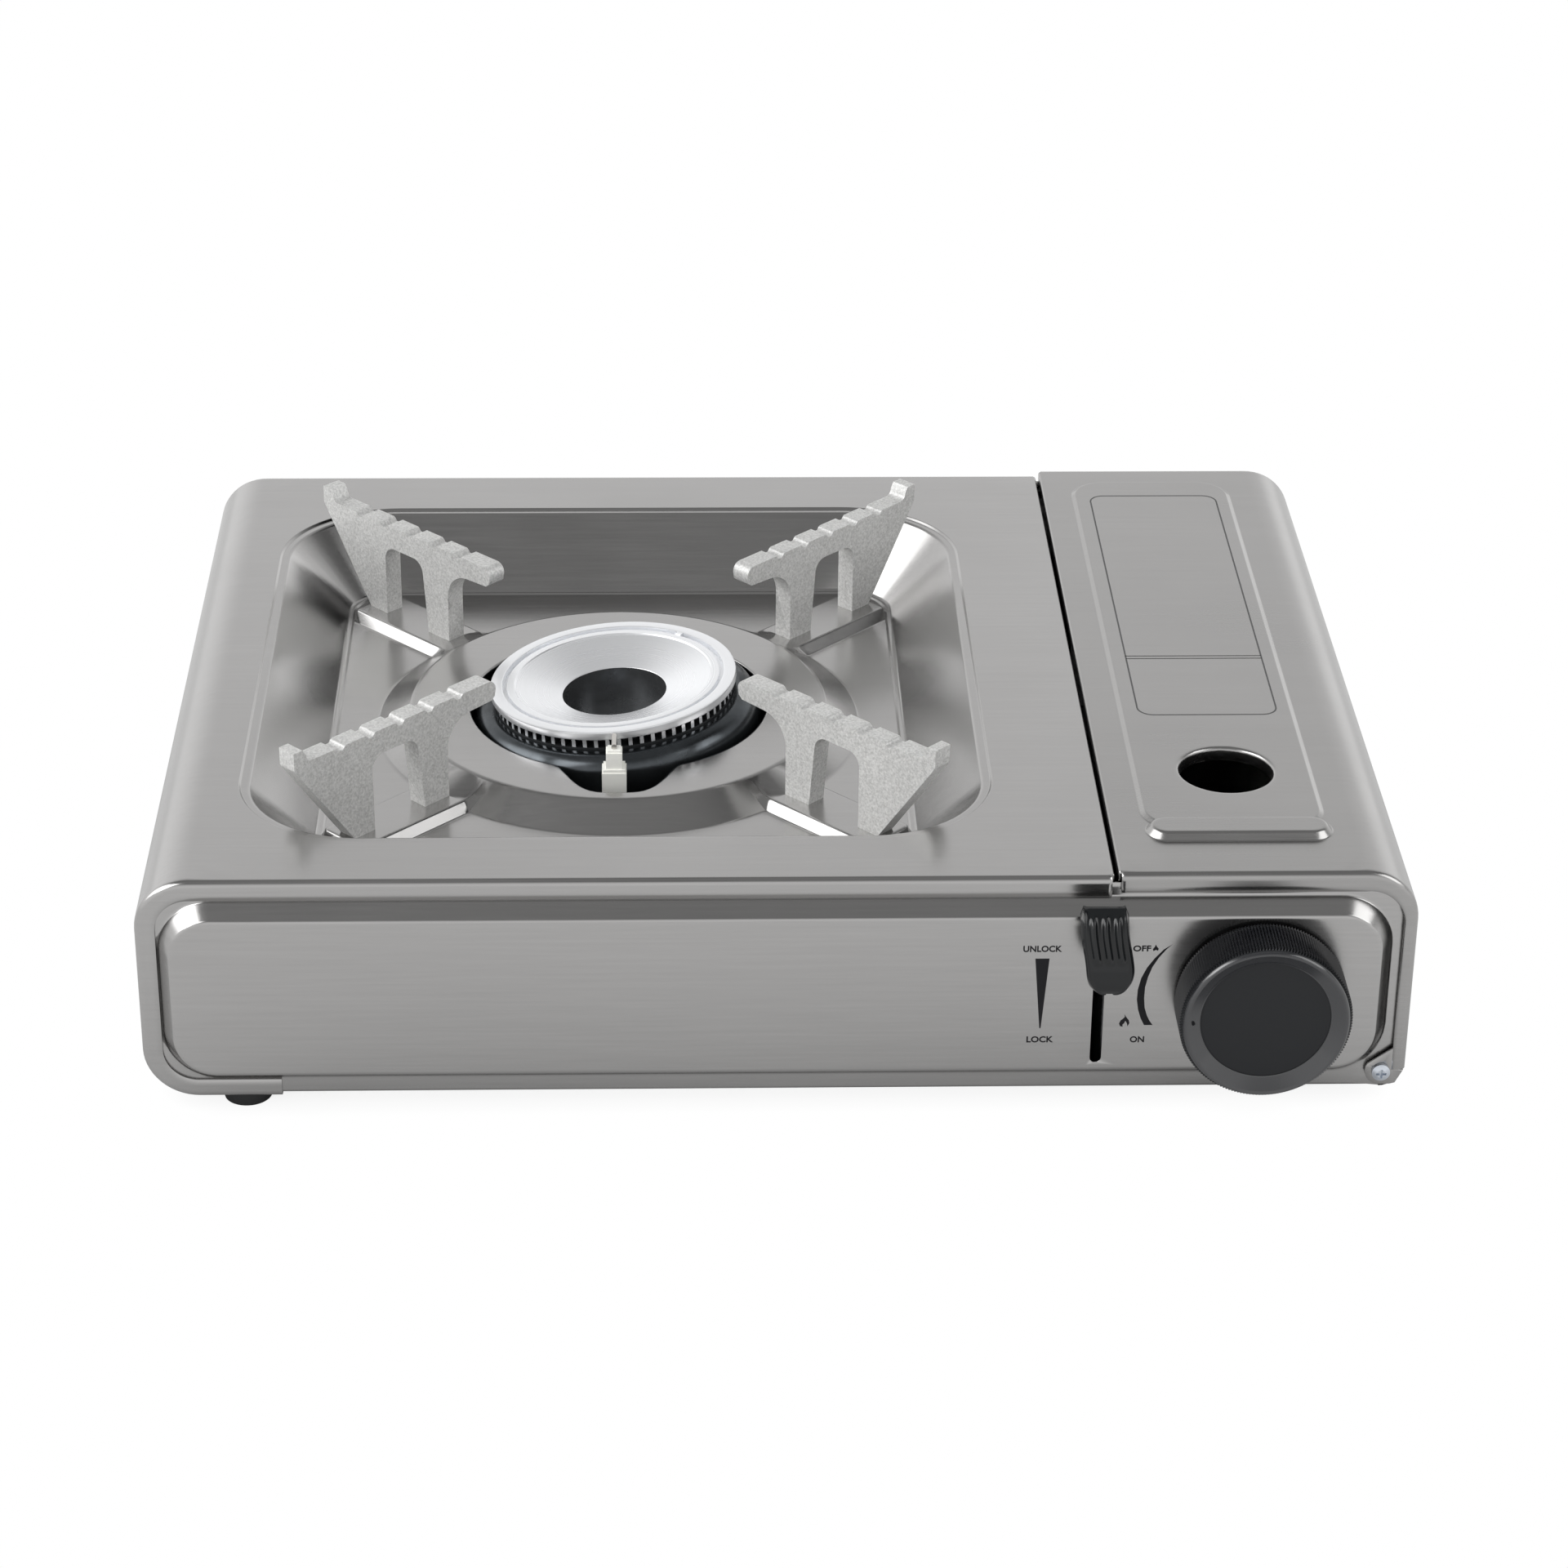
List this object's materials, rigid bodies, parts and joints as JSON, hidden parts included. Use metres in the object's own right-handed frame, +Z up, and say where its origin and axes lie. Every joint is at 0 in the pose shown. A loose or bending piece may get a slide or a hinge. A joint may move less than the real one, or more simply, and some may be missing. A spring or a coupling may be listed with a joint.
{
  "type": "butane cassette stove",
  "caption": "Portable tabletop gas stove in brushed stainless sheet with cast pan supports, slotted burner, hinged cartridge lid, lock lever and control knob.",
  "frame": {"origin": "centre of the bounding box in plan, on the plane that the rubber feet stand on", "axes": "+X to the right along the case's length, +Y from the knob to the back, +Z up"},
  "size_m": [0.37, 0.312, 0.096],
  "materials": {
    "stainless_tray": "brushed stainless, grain along X",
    "stainless_shell": "brushed stainless, grain along X",
    "stainless_lid": "brushed stainless, grain along X",
    "galvanised_sheet": "zinc-coated sheet steel, dull",
    "cast_aluminium": "sand-cast, grainy, unpolished",
    "turned_aluminium": "lathe-turned, bright",
    "zinc_plated_steel": "dark glossy zinc plate",
    "zinc_screw": "bluish zinc plate",
    "zinc_casting": "die-cast zinc",
    "electrode_steel": "drawn wire",
    "white_ceramic": "glazed ceramic",
    "white_plastic": "moulded",
    "black_plastic": "moulded, matt",
    "knob_plastic": "moulded, satin gloss",
    "tab_plastic": "moulded, satin gloss",
    "blackened_steel": "blackened",
    "brass": "turned",
    "lead_rubber": "insulated lead",
    "foot_rubber": "moulded rubber"
  },
  "bodies": {
    "stove": {"base_tray": "stainless_tray", "top_shell": "stainless_shell", "partition_wall": "galvanised_sheet", "pan_support_front_left": "cast_aluminium", "pan_support_front_right": "cast_aluminium", "pan_support_rear_left": "cast_aluminium", "pan_support_rear_right": "cast_aluminium", "support_screws": "zinc_screw", "burner_head": "turned_aluminium", "burner_head_screws": "zinc_screw", "burner_bowl": "zinc_plated_steel", "mixing_tube": "galvanised_sheet", "burner_bracket": "galvanised_sheet", "electrode_ceramic": "white_ceramic", "electrode_wire": "electrode_steel", "electrode_clip": "galvanised_sheet", "ignition_lead": "lead_rubber", "regulator_body": "zinc_casting", "regulator_cover": "zinc_plated_steel", "regulator_cover_screws": "zinc_screw", "gas_jet": "brass", "cartridge_guide": "galvanised_sheet", "regulator_bracket": "galvanised_sheet", "regulator_screws": "zinc_screw", "igniter_body": "black_plastic", "lever_pin": "zinc_screw", "lever_bracket": "galvanised_sheet", "carriage_rivets": "zinc_screw", "hinge_screws": "zinc_screw", "rubber_feet": "foot_rubber", "foot_screws": "zinc_screw"},
    "lid": {"cartridge_lid": "stainless_lid"},
    "knob": {"control_knob": "knob_plastic", "valve_stem": "brass", "igniter_cam": "black_plastic"},
    "igniter_plunger": {"igniter_plunger": "white_plastic"},
    "lever": {"lever_arm": "blackened_steel", "lever_thumb_tab": "tab_plastic"},
    "carriage": {"cartridge_carriage": "galvanised_sheet"}
  },
  "joints": [
    {"name": "lid_hinge", "type": "hinge", "parent": "stove", "child": "lid", "pos_m": [0.1776, 0.00845, 0.0121], "axis": [0, 1, 0], "range_deg": [0, 90]},
    {"name": "knob_turn", "type": "hinge", "parent": "stove", "child": "knob", "pos_m": [0.1395, -0.13155, 0.041], "axis": [0, -1, 0], "range_deg": [-30, 60]},
    {"name": "igniter_push", "type": "slide", "parent": "stove", "child": "igniter_plunger", "axis": [-1, 0, 0], "range_m": [-0.0017, 0.0034]},
    {"name": "lever_lock", "type": "hinge", "parent": "stove", "child": "lever", "pos_m": [0.0927, -0.10355, 0.02], "axis": [1, 0, 0], "range_deg": [0, 36]},
    {"name": "carriage_slide", "type": "slide", "parent": "stove", "child": "carriage", "axis": [0, -1, 0], "range_m": [0, 0.00705]}
  ],
  "couplings": [
    {"joint": "igniter_push", "follows": "knob_turn", "m_per_rad": 0.0031831},
    {"joint": "lever_lock", "follows": "carriage_slide", "rad_per_m": 89.08}
  ]
}
